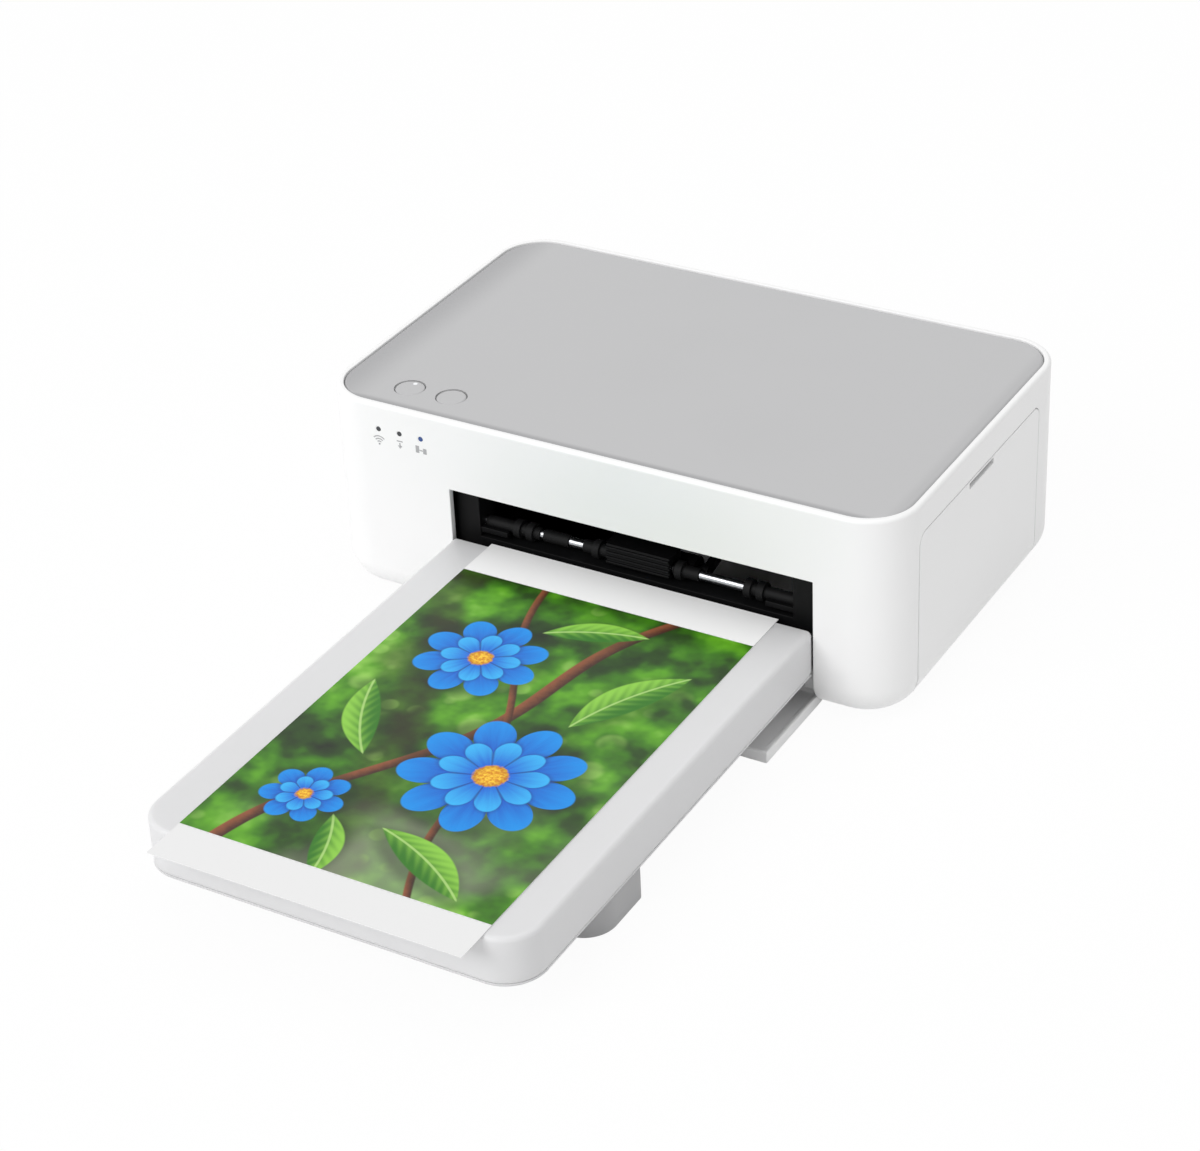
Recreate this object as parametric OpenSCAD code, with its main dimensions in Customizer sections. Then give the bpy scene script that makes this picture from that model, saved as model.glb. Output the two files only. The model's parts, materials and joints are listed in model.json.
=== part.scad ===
// Compact photo printer with its paper cassette in place, its front flap folded down
// and a print lying on the cassette. All sizes in millimetres. +Z is up, the table is z = 0,
// the flap and the cassette face -Y. The origin lies on the table, in the middle of the outline.

/* [Body] */
// Width of the body
body_w = 200; // [196:1:210]
// Depth of the body
body_d = 127; // [125:1:135]
// Height of the top above the table
body_top = 71; // [71:1:76]
// Height of the shell's underside above the table
foot_h = 1; // [0.8:0.1:2]
// Radius of the upright corners, seen from above
corner_r = 17; // [16:0.5:20]
// Radius of the rounded bottom edge
low_r = 11; // [10.5:0.5:12]
// Radius of the soft top edge
high_r = 1.2; // [0.6:0.1:1.6]
// Wall thickness of the shell
wall = 2.2; // [1.8:0.1:2.6]

/* [Front opening] */
// Middle of the paper path, from the middle of the body
feed_x = 11; // [8:1:11]
// Width of the front opening
mouth_w = 125.5; // [125:0.5:126]
// Height of the opening's top edge above the table
mouth_top = 46.7; // [46:0.1:48]

/* [Flap and ribbon door] */
// Distance of the flap's hinge behind the front face
flap_hinge_y = 8; // [7.5:0.1:8.5]
// Height of the flap's hinge
flap_hinge_z = 8.6; // [8.6:0.1:9]
// Front edge of the ribbon door, behind the front face
door_y0 = 16; // [15:0.5:18]
// Rear edge of the ribbon door, behind the front face
door_y1 = 105; // [103:0.5:106]
// Top edge of the ribbon door
door_top = 61; // [60:0.5:62]

/* [Paper and print] */
// Width of the paper
paper_w = 100; // [98:1:102]
// Length of the paper, with its tear-off ends
paper_l = 179; // [170:1:180]
// Thickness of one sheet
sheet_t = 0.24; // [0.2:0.01:0.3]
// Sheets in the cassette
sheets = 10; // [5:1:10]

/* [Cassette] */
// Width of the part outside the body
cassette_w = 124.9; // [124:0.1:125]
// Width of the part that enters the body
tongue_w = 119.5; // [118:0.5:119.5]
// How far the cassette stands out of the front face
cassette_out = 167.5; // [160:0.5:170]
// How far the cassette reaches into the body
cassette_in = 24; // [22:0.5:24]
// Height of its underside
cassette_low = 16.5; // [16:0.1:17]
// Height of its lid's top
cassette_top = 29.6; // [29:0.1:30]

/* [Rollers and gears] */
// Gear module
gear_m = 0.8; // [0.8:0.01:0.8]
// Radius of the feed roller
feed_r = 5; // [4.5:0.1:5]
// Radius of the platen roller
platen_r = 7; // [6:0.1:7]

/* [Hidden] */

$fn = 96;
cut = 1;                 // how far a cutting solid runs past a face
gap = 0.3;               // play between pieces that move past each other
fit = 0.05;              // radial clearance of a shaft in its bore

// The whole outline runs from the print's front edge to the body's rear face
print_over = 1.5;        // how far the print's rear edge lies inside the front face
reach = paper_l - print_over - 0.2;
front_y = (reach - body_d) / 2;

// Paper path, in the plane across the rollers: [distance behind the front face, height]
feed_at = [40, 34];
platen_at = [58, feed_at[1] + feed_r - platen_r];
exit_at = [8.5, 33.3];
pinch_r = 3;
paper_gap = 0.4;
pinch_at = [feed_at[0], feed_at[1] + feed_r + paper_gap + pinch_r];
supply_at = [86, 50];
takeup_at = [34, 54];
pickup_at = [18.5, 28.4];
arm_pivot = [31, 31];
head_pivot = [106, 62];
ring_r = 3;
shaft_r = 1.5;

// Side plates of the chassis
plate_t = 1.2;
left_plate_x = -56.2;
right_plate_x = 77.2;

// Teeth
feed_teeth = 16;
platen_teeth = 16;
idler_teeth = 18;
small_teeth = 12;
large_teeth = 36;
pinion_teeth = 12;
exit_teeth = 12;
exit_idler_teeth = 26;
takeup_idler_teeth = 10;
takeup_teeth = 24;
gear_x = -61.6;          // outer side of the gears next to the left plate
gear_w = 4;

function gear_r(teeth) = gear_m * teeth / 2;
function mesh(a, b) = gear_m * (a + b) / 2;
function dist(p, q) = norm(q - p);
// Angle of the line from p to q
function bearing(p, q) = atan2(q[1] - p[1], q[0] - p[0]);
// Point at ra from p and rb from q, on the side that side (+1 or -1) picks
function corner_of(p, ra, q, rb, side) =
  let (d = dist(p, q), a = (ra * ra - rb * rb + d * d) / (2 * d), h = sqrt(ra * ra - a * a),
       u = (q - p) / d)
  p + u * a + [-u[1], u[0]] * h * side;
// Turn of a gear b whose tooth space faces a tooth of gear a
function phase(p, a_teeth, a_turn, q, b_teeth) =
  let (b = bearing(p, q)) b + 180 - 180 / b_teeth + a_teeth / b_teeth * (b - a_turn);

drive_idler_at = corner_of(feed_at, mesh(feed_teeth, idler_teeth),
                           platen_at, mesh(platen_teeth, idler_teeth), -1);
reduction_at = drive_idler_at + mesh(idler_teeth, small_teeth) * [cos(-19), sin(-19)];
motor_at = reduction_at + mesh(large_teeth, pinion_teeth) * [cos(-14), sin(-14)];
exit_idler_at = corner_of(feed_at, mesh(feed_teeth, exit_idler_teeth),
                          exit_at, mesh(exit_teeth, exit_idler_teeth), 1);
takeup_idler_at = corner_of(feed_at, mesh(feed_teeth, takeup_idler_teeth),
                            takeup_at, mesh(takeup_teeth, takeup_idler_teeth), -1);

feed_turn = 0;
drive_idler_turn = phase(feed_at, feed_teeth, feed_turn, drive_idler_at, idler_teeth);
platen_turn = phase(drive_idler_at, idler_teeth, drive_idler_turn, platen_at, platen_teeth);
reduction_turn = phase(drive_idler_at, idler_teeth, drive_idler_turn, reduction_at, small_teeth);
pinion_turn = phase(reduction_at, large_teeth, reduction_turn, motor_at, pinion_teeth);
exit_idler_turn = phase(feed_at, feed_teeth, feed_turn, exit_idler_at, exit_idler_teeth);
exit_turn = phase(exit_idler_at, exit_idler_teeth, exit_idler_turn, exit_at, exit_teeth);
takeup_idler_turn = phase(feed_at, feed_teeth, feed_turn, takeup_idler_at, takeup_idler_teeth);
takeup_turn = phase(takeup_idler_at, takeup_idler_teeth, takeup_idler_turn,
                    takeup_at, takeup_teeth);

// Colours, as the photograph shows them
white = "#f4f4f4";
panel_grey = "#c6c6c6";
frost = "#dcdcdc";
mid_grey = "#9a9a9a";
black = "#1c1c1c";
rubber_black = "#2a2a2a";
steel = "#b4b6ba";
board_green = "#2c5a3c";

// ---------- shared shapes ----------

// Distances in the pieces below are measured from the front face and the table
module from_front() {
  translate([0, front_y, 0]) children();
}

// Box from its lowest to its highest corner
module box(a, b) {
  translate(a) cube(b - a);
}

// Cylinder along X from x0 to x1, through p = [y, z]
module rod(x0, x1, p, r) {
  translate([x0, p[0], p[1]]) rotate([90, 0, 90]) cylinder(r = r, h = x1 - x0);
}

// Outline drawn as [y, z], extruded along X from x0 to x1
module across(x0, x1) {
  translate([x0, 0, 0]) rotate([90, 0, 90]) linear_extrude(x1 - x0) children();
}

// Outline drawn as [x, z], extruded along Y from y0 to y1
module along(y0, y1) {
  translate([0, y1, 0]) rotate([90, 0, 0]) linear_extrude(y1 - y0) children();
}

// Rectangle with round corners, about the origin
module round_rect(w, d, r) {
  square([w - 2 * r, d], center = true);
  square([w, d - 2 * r], center = true);
  for (sx = [-1, 1], sy = [-1, 1])
    translate([sx * (w / 2 - r), sy * (d / 2 - r)]) circle(r);
}

// Right half of a section: half width w, height h, low and high edge radii
module half_section(w, h, low, high) {
  square([w - max(low, high), h]);
  translate([0, low]) square([w, h - low - high]);
  if (low > 0) intersection() {
    translate([w - low, low]) circle(low);
    square([w, h]);
  }
  if (high > 0) intersection() {
    translate([w - high, h - high]) circle(high);
    square([w, h]);
  }
  if (low > high) translate([0, h / 2]) square([w - high, h / 2]);
}

// Block with upright corners of radius r and rounded lower and upper edges, base at z = 0
module soft_block(w, d, h, r, low, high) {
  for (sx = [-1, 1], sy = [-1, 1])
    translate([sx * (w / 2 - r), sy * (d / 2 - r), 0])
      rotate_extrude() half_section(r, h, low, high);
  along(-d / 2 + r, d / 2 - r) {
    half_section(w / 2, h, low, high);
    mirror([1, 0]) half_section(w / 2, h, low, high);
  }
  across(-w / 2 + r, w / 2 - r) {
    half_section(d / 2, h, low, high);
    mirror([1, 0]) half_section(d / 2, h, low, high);
  }
}

// The body's outline drawn in by inset, from z0 up to z1
module body_block(inset, z0, z1, high) {
  translate([0, body_d / 2, z0])
    soft_block(body_w - 2 * inset, body_d - 2 * inset, z1 - z0, corner_r - inset,
               low_r - inset, high);
}

// Straight-sided outline of the body, drawn in by inset
module body_prism(inset, z0, z1) {
  translate([0, body_d / 2, z0]) linear_extrude(z1 - z0)
    round_rect(body_w - 2 * inset, body_d - 2 * inset, corner_r - inset);
}

// Spur gear outline, one tooth on the first axis
module gear_outline(teeth) {
  r = gear_r(teeth);
  pitch = 360 / teeth;
  root = r - 1.1 * gear_m;
  tip = r + 0.8 * gear_m;
  polygon([for (i = [0 : teeth - 1], c = [[-0.32, root], [-0.12, tip], [0.12, tip], [0.32, root]])
    c[1] * [cos(pitch * (i + c[0])), sin(pitch * (i + c[0]))]]);
}

// Gear on an axis along X at p, its outer side at x0, on a shaft of radius bore
module gear(x0, p, teeth, turn, bore) {
  translate([x0, p[0], p[1]]) rotate([90, 0, 90]) rotate(turn)
    linear_extrude(gear_w) difference() {
      gear_outline(teeth);
      circle(bore);
    }
}

// ---------- casing ----------

lip_z = body_top - 2.6;  // the top panel rests on a ledge at this height
ledge_t = 1.2;
ledge_w = 1.8;
floor_z = foot_h + wall;
mouth_mid = feed_x - 0.75;  // the opening sits a little left of the paper path
mouth_x0 = mouth_mid - mouth_w / 2;
mouth_x1 = mouth_mid + mouth_w / 2;
flap_swing_y = 15.2;     // the flap's lower edge swings back as far as this
door_hinge = [body_w / 2 - 4, 7];   // [x, z]
door_low = 3;            // lowest point of the ribbon door's skin
door_swing_r = 4.5;      // room for the ribbon door's lower edge round its hinge
door_pin_r = 1;
door_corner_r = 4;       // upper corners of the ribbon door, seen from the side
boss_l = 2;              // length of the shell's hinge bosses
slit_y = [51.6, 69.4];
slit_z = [58, 60];
plate_x = 87;
base_y = [15.5, 114];

// Everything that the front opening removes from the shell
module mouth_cut() {
  box([mouth_x0, -cut, -cut], [mouth_x1, wall + cut, mouth_top]);
  box([mouth_x0, -cut, -cut], [mouth_x1, flap_swing_y, floor_z + 9]);
}

// Section [x, z] of the ribbon door's opening, drawn in by play
module door_section(play) {
  polygon([[body_w / 2 - 5.4 + play, door_low - 0.4 + play], [body_w / 2 + cut, door_low - 0.4 + play],
           [body_w / 2 + cut, door_top - play], [body_w / 2 - wall - 2, door_top - play],
           [body_w / 2 - wall - 2, door_low + 7]]);
}

// The ribbon door's opening, drawn in by play, with round upper corners
module door_block(play) {
  r = door_corner_r - play;
  y0 = door_y0 + play;
  l = door_y1 - door_y0 - 2 * play;
  top = door_top - play;
  intersection() {
    along(y0, y0 + l) door_section(play);
    across(body_w / 2 - 2 * low_r, body_w / 2 + 2 * cut) {
      translate([y0, -cut]) square([l, top - r + cut]);
      translate([y0 + r, -cut]) square([l - 2 * r, top + cut]);
      for (y = [y0 + r, y0 + l - r]) translate([y, top - r]) circle(r);
    }
  }
}

// Vents, inlets and the paper's rear slot
fan_x = -75;
fan_z = 44;
fan_size = 30;
vent_w = 2.2;
jack_at = [-76, 18.5];   // [x, z]
jack_r = 4;
plug_r = 2.75;
usb_at = [-59, 17];      // [x, z]
usb_w = 13.8;
usb_h = 6.4;
rear_slot_z = [37.6, 43.2];

module rear_cuts() {
  for (i = [-3 : 3])
    box([fan_x + i * 4 - vent_w / 2, body_d - wall - cut, fan_z - 13],
        [fan_x + i * 4 + vent_w / 2, body_d + cut, fan_z + 13]);
  translate([jack_at[0], body_d + cut, jack_at[1]]) rotate([90, 0, 0])
    cylinder(r = jack_r, h = wall + 2 * cut);
  box([usb_at[0] - usb_w / 2 - 0.2, body_d - wall - cut, usb_at[1] - usb_h / 2 - 0.2],
      [usb_at[0] + usb_w / 2 + 0.2, body_d + cut, usb_at[1] + usb_h / 2 + 0.2]);
  box([feed_x - paper_w / 2 - 4, body_d - wall - cut, rear_slot_z[0]],
      [feed_x + paper_w / 2 + 4, body_d + cut, rear_slot_z[1]]);
}

// Three lamps on the front, left of the opening
lamp_x = [-77.3, -69.6, -61.8];
lamp_z = 62.3;
lamp_r = 0.8;

module outer_shell() {
  color(white) from_front() difference() {
    union() {
      difference() {
        body_block(0, foot_h, body_top, high_r);
        body_block(wall, floor_z, body_top + cut, 0);
      }
      difference() {
        body_prism(wall - 0.4, lip_z - ledge_t, lip_z);
        body_prism(wall + ledge_w, lip_z - ledge_t - cut, lip_z + cut);
      }
      for (y = [door_y0 - boss_l - 0.4, door_y1 + 0.4])
        along(y, y + boss_l) translate(door_hinge) {
          circle(1.7);
          translate([-1.7, -2.2]) square([2.6, 2.4]);
        }
    }
    mouth_cut();
    door_block(0);
    along(door_y0 - 0.3, door_y1 + 0.3) translate(door_hinge) circle(door_swing_r);
    along(door_y0 - boss_l - 1, door_y1 + boss_l + 1) translate(door_hinge) circle(door_pin_r);
    box([-plate_x, base_y[0], -cut], [plate_x, base_y[1], floor_z + 0.2]);
    rear_cuts();
    for (x = lamp_x)
      translate([x, -cut, lamp_z]) rotate([-90, 0, 0]) cylinder(r = lamp_r, h = wall + 2 * cut);
  }
}

button_at = [[-74, 14.3], [-59, 14.7]];
button_r = 4.8;
button_hole_r = 5.1;
button_top = body_top - 0.4;
panel_top = body_top - 0.3;

module top_panel() {
  color(panel_grey) from_front() difference() {
    translate([0, body_d / 2, lip_z])
      soft_block(body_w - 2 * (wall + 0.15), body_d - 2 * (wall + 0.15), panel_top - lip_z,
                 corner_r - wall - 0.15, 0, 1);
    for (p = button_at)
      translate([p[0], p[1], lip_z - cut]) cylinder(r = button_hole_r, h = 4 + cut);
  }
}

screw_at = [[-61, 30], [-61, 104], [83, 30], [83, 104]];
screw_r = 1.4;

module base_plate() {
  play = 0.15;
  color(white) from_front() difference() {
    union() {
      box([-plate_x + play, base_y[0] + play, foot_h], [plate_x - play, base_y[1] - play, floor_z]);
      for (x = [-92, -71], y = [34, 96])
        if (x > -plate_x) translate([x, y, foot_h]) cylinder(r = 2.5, h = 5);
      translate([-84, 65, foot_h]) cylinder(r = 2.5, h = 5);
    }
    for (p = screw_at) translate([p[0], p[1], 0]) {
      cylinder(r = screw_r, h = 6);
      cylinder(r = 2.7, h = foot_h + 1.1);
    }
    for (x = [-1, 1], i = [0 : 6])
      box([x * 30 + i * 5 - 16, 96, 0], [x * 30 + i * 5 - 14, 108, 5]);
  }
}

foot_r = 6;

module rubber_feet() {
  color(rubber_black) from_front()
    for (x = [-72, 72], y = [26, 101])
      translate([x, y, 0]) cylinder(r = foot_r, h = foot_h);
}

module case_screws() {
  color(steel) from_front() for (p = screw_at)
    translate([p[0], p[1], foot_h + 0.2]) {
      difference() {
        cylinder(r = 2.5, h = 0.9);
        for (turn = [0, 90]) rotate(turn) translate([-1.5, -0.3, -cut]) cube([3, 0.6, 0.5 + cut]);
      }
      cylinder(r = screw_r, h = 5);
    }
}

// ---------- flap and ribbon door ----------

flap_pin_r = 1.2;
flap_t = 3.8;
flap_skin = 1.8;
flap_play = 0.35;

// The flap is drawn shut and then folded down about its hinge
module fold_flap() {
  translate([0, flap_hinge_y, flap_hinge_z]) rotate([90, 0, 0])
    translate([0, -flap_hinge_y, -flap_hinge_z]) children();
}

module front_door() {
  x0 = mouth_x0 + flap_play;
  x1 = mouth_x1 - flap_play;
  top = mouth_top - flap_play;
  rim = 2.4;
  step_w = 1.2;              // the rim has a lower step on its inner side
  step_h = 1;
  ear_w = 5;
  ear_r = 3;
  color(white) from_front() fold_flap() difference() {
    union() {
      intersection() {
        body_block(0, foot_h, body_top, 0);
        box([x0, -cut, 2], [x1, flap_t, top]);
      }
      for (x = [x0, x1 - ear_w]) {
        rod(x, x + ear_w, [flap_hinge_y, flap_hinge_z], ear_r);
        box([x, flap_t - 1, flap_hinge_z - ear_r], [x + ear_w, flap_hinge_y, flap_hinge_z + ear_r]);
      }
    }
    difference() {
      union() {
        box([x0 + rim, flap_skin, 2 - cut], [x1 - rim, flap_t + cut, top - rim]);
        box([x0 + rim - step_w, flap_t - step_h, 2 - cut],
            [x1 - rim + step_w, flap_t + cut, top - rim + step_w]);
      }
      box([x0, flap_skin - cut, 0], [x1, flap_t, 9.5]);
    }
    box([x0 + ear_w, flap_skin, -cut], [x1 - ear_w, flap_t + cut, 7]);
    rod(x0 - cut, x1 + cut, [flap_hinge_y, flap_hinge_z], flap_pin_r + fit);
  }
}

module front_door_pins() {
  color(steel) from_front() {
    rod(mouth_x0 - 3, mouth_x0 + 5, [flap_hinge_y, flap_hinge_z], flap_pin_r);
    rod(mouth_x1 - 5, mouth_x1 + 3, [flap_hinge_y, flap_hinge_z], flap_pin_r);
  }
}

knuckle_w = 6;

module ribbon_door() {
  color(white) from_front() difference() {
    union() {
      intersection() {
        difference() {
          body_block(0, foot_h, body_top, 0);
          body_block(wall, floor_z, body_top, 0);
        }
        door_block(gap);
      }
      for (y = [door_y0 + gap, door_y1 - gap - knuckle_w])
        along(y, y + knuckle_w) translate(door_hinge) circle(2.3);
      box([body_w / 2 - wall - 1.5, door_y0 + 6, 18], [body_w / 2 - wall + 0.2, door_y0 + 8, door_top - 8]);
      box([body_w / 2 - wall - 1.5, door_y1 - 8, 18], [body_w / 2 - wall + 0.2, door_y1 - 6, door_top - 8]);
    }
    along(door_y0 - cut, door_y1 + cut) translate(door_hinge) circle(door_pin_r + fit);
    box([body_w / 2 - wall - cut, slit_y[0], slit_z[0]], [body_w / 2 + cut, slit_y[1], slit_z[1]]);
  }
}

module ribbon_door_pins() {
  l = 7.5;
  color(steel) from_front() for (y = [door_y0 - boss_l - 0.4, door_y1 + boss_l + 0.4 - l])
    along(y, y + l) translate(door_hinge) circle(door_pin_r);
}

// Finger cup behind the slit, with the catch on its top
module ribbon_door_latch() {
  x1 = body_w / 2 - wall;
  color(mid_grey) from_front() {
    difference() {
      box([x1 - 4, slit_y[0] - 1.5, slit_z[0] - 1.5], [x1, slit_y[1] + 1.5, slit_z[1] + 0.6]);
      box([x1 - 2.8, slit_y[0], slit_z[0]], [x1 + cut, slit_y[1], slit_z[1]]);
    }
  }
}

// ---------- buttons and lamps ----------

button_board_z = 61.6;
board_t = 1.6;
lamp_board_y = 5.1;

module button(p, lamp) {
  color(panel_grey) from_front() translate([p[0], p[1], 0]) difference() {
    union() {
      translate([0, 0, button_top - 3.2])
        rotate_extrude() half_section(button_r, 3.2, 0, 0.6);
      translate([0, 0, button_board_z + board_t + 1.6])
        cylinder(r = 2, h = button_top - 1 - button_board_z - board_t - 1.6);
    }
    if (lamp) translate([0, 3.1, button_top - 3.2 - cut]) cylinder(r = 0.7, h = 4 + cut);
  }
}

module power_button() {
  button(button_at[0], true);
}

module mode_button() {
  button(button_at[1], false);
}

module power_light() {
  color("white") from_front()
    translate([button_at[0][0], button_at[0][1] + 3.1, button_top - 3.2]) cylinder(r = 0.7, h = 3.2);
}

module button_domes() {
  color(rubber_black) from_front() for (p = button_at)
    translate([p[0], p[1], button_board_z + board_t]) cylinder(r = 2.6, h = 0.6);
}

// Board under the buttons, on posts from the top panel; the lamps' board stands against its edge
module button_board() {
  color(board_green) from_front() {
    box([-86, lamp_board_y + board_t, button_board_z], [-50, 19.4, button_board_z + board_t]);
    for (x = [-84, -66.5, -52]) translate([x, 11, button_board_z + board_t])
      cylinder(r = 1.5, h = lip_z - button_board_z - board_t);
  }
}

module status_lights() {
  color("#404850") from_front() for (x = lamp_x)
    translate([x, 0.1, lamp_z]) rotate([-90, 0, 0]) cylinder(r = lamp_r, h = 5);
}

module status_board() {
  color(board_green) from_front()
    box([-83, lamp_board_y, 55], [-57, lamp_board_y + board_t, 65]);
}

// ---------- paper exit ----------

block_x0 = mouth_x0 + 8;    // inner faces of the exit frame's side blocks
block_x1 = mouth_x1 - 8.5;
cheek_t = 2.3;
exit_depth = 29.2;

module exit_frame() {
  y0 = wall + 0.2;
  block_y = flap_t + 0.3;     // the shut flap's rim rests in front of the side blocks
  low = wall_top + 0.7;
  color(black) from_front() difference() {
    union() {
      box([mouth_x0 - cheek_t, y0, mouth_top + 0.3], [mouth_x1 + cheek_t, exit_depth - 0.6, mouth_top + 1.8]);
      box([mouth_x0 - cheek_t, exit_depth - 2, 40.5], [mouth_x1 + cheek_t, exit_depth, mouth_top + 1]);
      for (x = [mouth_x0 - cheek_t, mouth_x1])
        box([x, 5.4, 6.2], [x + cheek_t, 18, mouth_top + 1]);
      // Hollow side blocks
      difference() {
        box([mouth_x0 - 0.1, block_y, low], [block_x0, exit_depth, mouth_top + 1]);
        box([mouth_x0 + 1.6, 12, low + 1.6], [block_x0 + cut, 26, mouth_top - 1.5]);
      }
      difference() {
        box([block_x1, block_y, low], [mouth_x1 + 0.1, exit_depth, mouth_top + 1]);
        box([block_x1 - cut, 12, low + 1.6], [mouth_x1 - 1.6, 26, mouth_top - 1.5]);
      }
      // Sill that the print slides over on its way out
      box([mouth_x0, block_y, low], [mouth_x1, 12.5, cassette_top + 0.2]);
      // Short bars in front of the shaft's ends
      for (x = [block_x0 - 0.5, block_x1 - 9.5]) box([x, 4.5, 31.2], [x + 10, 6.4, 33]);
    }
    rod(mouth_x0 + 1, mouth_x1 - 1, exit_at, shaft_r + fit);
    rod(mouth_x0 - cheek_t - cut, mouth_x0 + 1.1, exit_at, shaft_r + 0.5);
    rod(mouth_x0 - cheek_t - cut, mouth_x1 + cheek_t + cut, [flap_hinge_y, flap_hinge_z], flap_pin_r);
  }
}

guide_w = 22;

// Ribbed middle block, carried by a bar between the side blocks
module exit_guide() {
  color(black) from_front() difference() {
    union() {
      box([feed_x - guide_w / 2, 5.6, 31], [feed_x + guide_w / 2, 13, 38]);
      for (i = [0 : 3])
        box([feed_x - guide_w / 2, 4.8, 31.5 + i * 1.7], [feed_x + guide_w / 2, 6, 32.3 + i * 1.7]);
      for (x = [feed_x - 9, feed_x + 7]) box([x, 12, 34.8], [x + 2, 26, 37.4]);
      box([block_x0, 24, 36], [block_x1, 26.5, 37.4]);
    }
    rod(mouth_x0, mouth_x1, exit_at, shaft_r + 0.5);
  }
}

module exit_shaft() {
  color(steel) from_front() rod(gear_x, mouth_x1 - 2, exit_at, shaft_r);
}

ring_offsets = [-43.5, -39, -15.3, 13.5, 37, 41.3];
ring_w = 2.4;
sleeve_r = 2;
// Lengths of the shaft that are covered by rubber
sleeves = [[block_x0 + 0.5, -24.6], [-23.4, -14.3], [-9.2, -0.4], [22.4, 31.2], [46.8, block_x1 - 0.5]];

module exit_rollers() {
  color(rubber_black) from_front() difference() {
    union() {
      for (x = ring_offsets) rod(feed_x + x - ring_w / 2, feed_x + x + ring_w / 2, exit_at, ring_r);
      for (x = sleeves) rod(x[0], x[1], exit_at, sleeve_r);
    }
    rod(mouth_x0, mouth_x1, exit_at, shaft_r);
  }
}

module exit_gear() {
  color("ivory") from_front() gear(gear_x, exit_at, exit_teeth, exit_turn, shaft_r);
}

// ---------- cassette ----------

lid_wall = 2;
lid_edge_r = 1.6;        // soft upper edge of the lid
lid_rear = 0.2;          // the lid's rear edge, in front of the body's front face
block_low = 13.5;        // underside of the cassette outside the body
lid_low = block_low + 1.4;
tray_floor = cassette_low + 1.2;
stack_z = cassette_low + 2.6;
stack_top = stack_z + sheets * sheet_t;
lid_pivot = [-lid_rear - 2.3, cassette_top - 4.1];
lid_pin_r = 1;
lid_ear_r = 1.7;
lid_ear_w = 3.4;
plan_r = 12;             // plan radius of the cassette's front corners
outer_l = cassette_out - lid_rear;
wall_top = 24.2;         // top of the tray's own walls
tongue_x = [mouth_mid - tongue_w / 2, mouth_mid + tongue_w / 2];
block_x = [mouth_mid - cassette_w / 2, mouth_mid + cassette_w / 2];
tray_inset = lid_wall + 0.35;
lid_pin_x = [0.8, 6];    // both ends of a lid pin, from the cassette's side

// Block of the cassette's outline outside the body, drawn in by inset, its rear end square
module cassette_block(inset, z0, z1, low, high, past) {
  l = 2 * (outer_l - inset);
  intersection() {
    translate([mouth_mid, -lid_rear, z0])
      soft_block(cassette_w - 2 * inset, l, z1 - z0, plan_r - inset, low, high);
    box([-body_w, -cassette_out - cut, z0 - cut], [body_w, -lid_rear + past, z1 + cut]);
  }
}

// Ears and pins are drawn for the left side and mirrored to the right one
module both_sides() {
  translate([block_x[0], 0, 0]) children();
  translate([block_x[1], 0, 0]) mirror([1, 0, 0]) children();
}

module cassette_tray() {
  inner_t = 1.6;
  color(frost) from_front() {
    difference() {
      union() {
        cassette_block(0, block_low, block_low + 1.2, 1, 0, 0);
        cassette_block(tray_inset, block_low + 0.2, wall_top, 0, 0, 0);
        box([tongue_x[0], -lid_rear - 5, block_low], [tongue_x[1], -lid_rear, tray_floor]);
        box([tongue_x[0], -lid_rear - 5, cassette_low], [tongue_x[1], cassette_in, wall_top]);
      }
      difference() {
        cassette_block(tray_inset + inner_t, block_low + 1.2, wall_top + cut, 0, 0, -5);
        // Rails that carry the paper
        for (x = [-46, -30, 28, 44])
          box([feed_x + x, -152, 0], [feed_x + x + 2, -36, stack_z]);
      }
      box([tongue_x[0] + 2, -lid_rear - 8, tray_floor],
          [tongue_x[1] - 2, cassette_in - 1.5, wall_top + cut]);
      // Low rear lip under the pickup roller
      box([tongue_x[0] + 2, cassette_in - 3, 23.2], [tongue_x[1] - 2, cassette_in + cut, wall_top + cut]);
    }
    // Ears on posts that hold the lid's pins
    both_sides() difference() {
      union() {
        rod(tray_inset, tray_inset + lid_ear_w, lid_pivot, lid_ear_r);
        box([tray_inset, lid_pivot[0] - lid_ear_r, block_low + 0.4],
            [tray_inset + lid_ear_w, lid_pivot[0] + lid_ear_r, lid_pivot[1]]);
      }
      rod(tray_inset - cut, lid_pin_x[1] + cut, lid_pivot, lid_pin_r);
    }
  }
}

module cassette_lid() {
  color(frost) from_front() difference() {
    cassette_block(0, lid_low, cassette_top, 0, lid_edge_r, 0);
    cassette_block(lid_wall, lid_low - cut, cassette_top - lid_wall, 0, 0.3, cut);
    // Its lower rear corners swing past the tray's floor
    box([-body_w, -lid_rear - 1.2, lid_low - cut], [body_w, 0, lid_low + 0.4]);
    both_sides() rod(lid_pin_x[0] - fit, lid_wall + cut, lid_pivot, lid_pin_r + fit);
  }
}

module lid_pins() {
  color(steel) from_front() both_sides() rod(lid_pin_x[0], lid_pin_x[1], lid_pivot, lid_pin_r);
}

foot_y = [-126, -102];

// Hollow block under the cassette that stands on the table
module cassette_foot() {
  w = 121;
  d = foot_y[1] - foot_y[0];
  t = 2;
  color(mid_grey) from_front() difference() {
    intersection() {
      translate([mouth_mid, foot_y[1], 0]) soft_block(w, 2 * d, block_low, 10, 1, 0);
      box([-body_w, foot_y[0] - cut, -cut], [body_w, foot_y[1], block_low]);
    }
    intersection() {
      translate([mouth_mid, foot_y[1] - t, t]) soft_block(w - 2 * t, 2 * (d - 2 * t), block_low, 8, 0, 0);
      box([-body_w, foot_y[0], t], [body_w, foot_y[1] - t, block_low + cut]);
    }
  }
}

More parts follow.
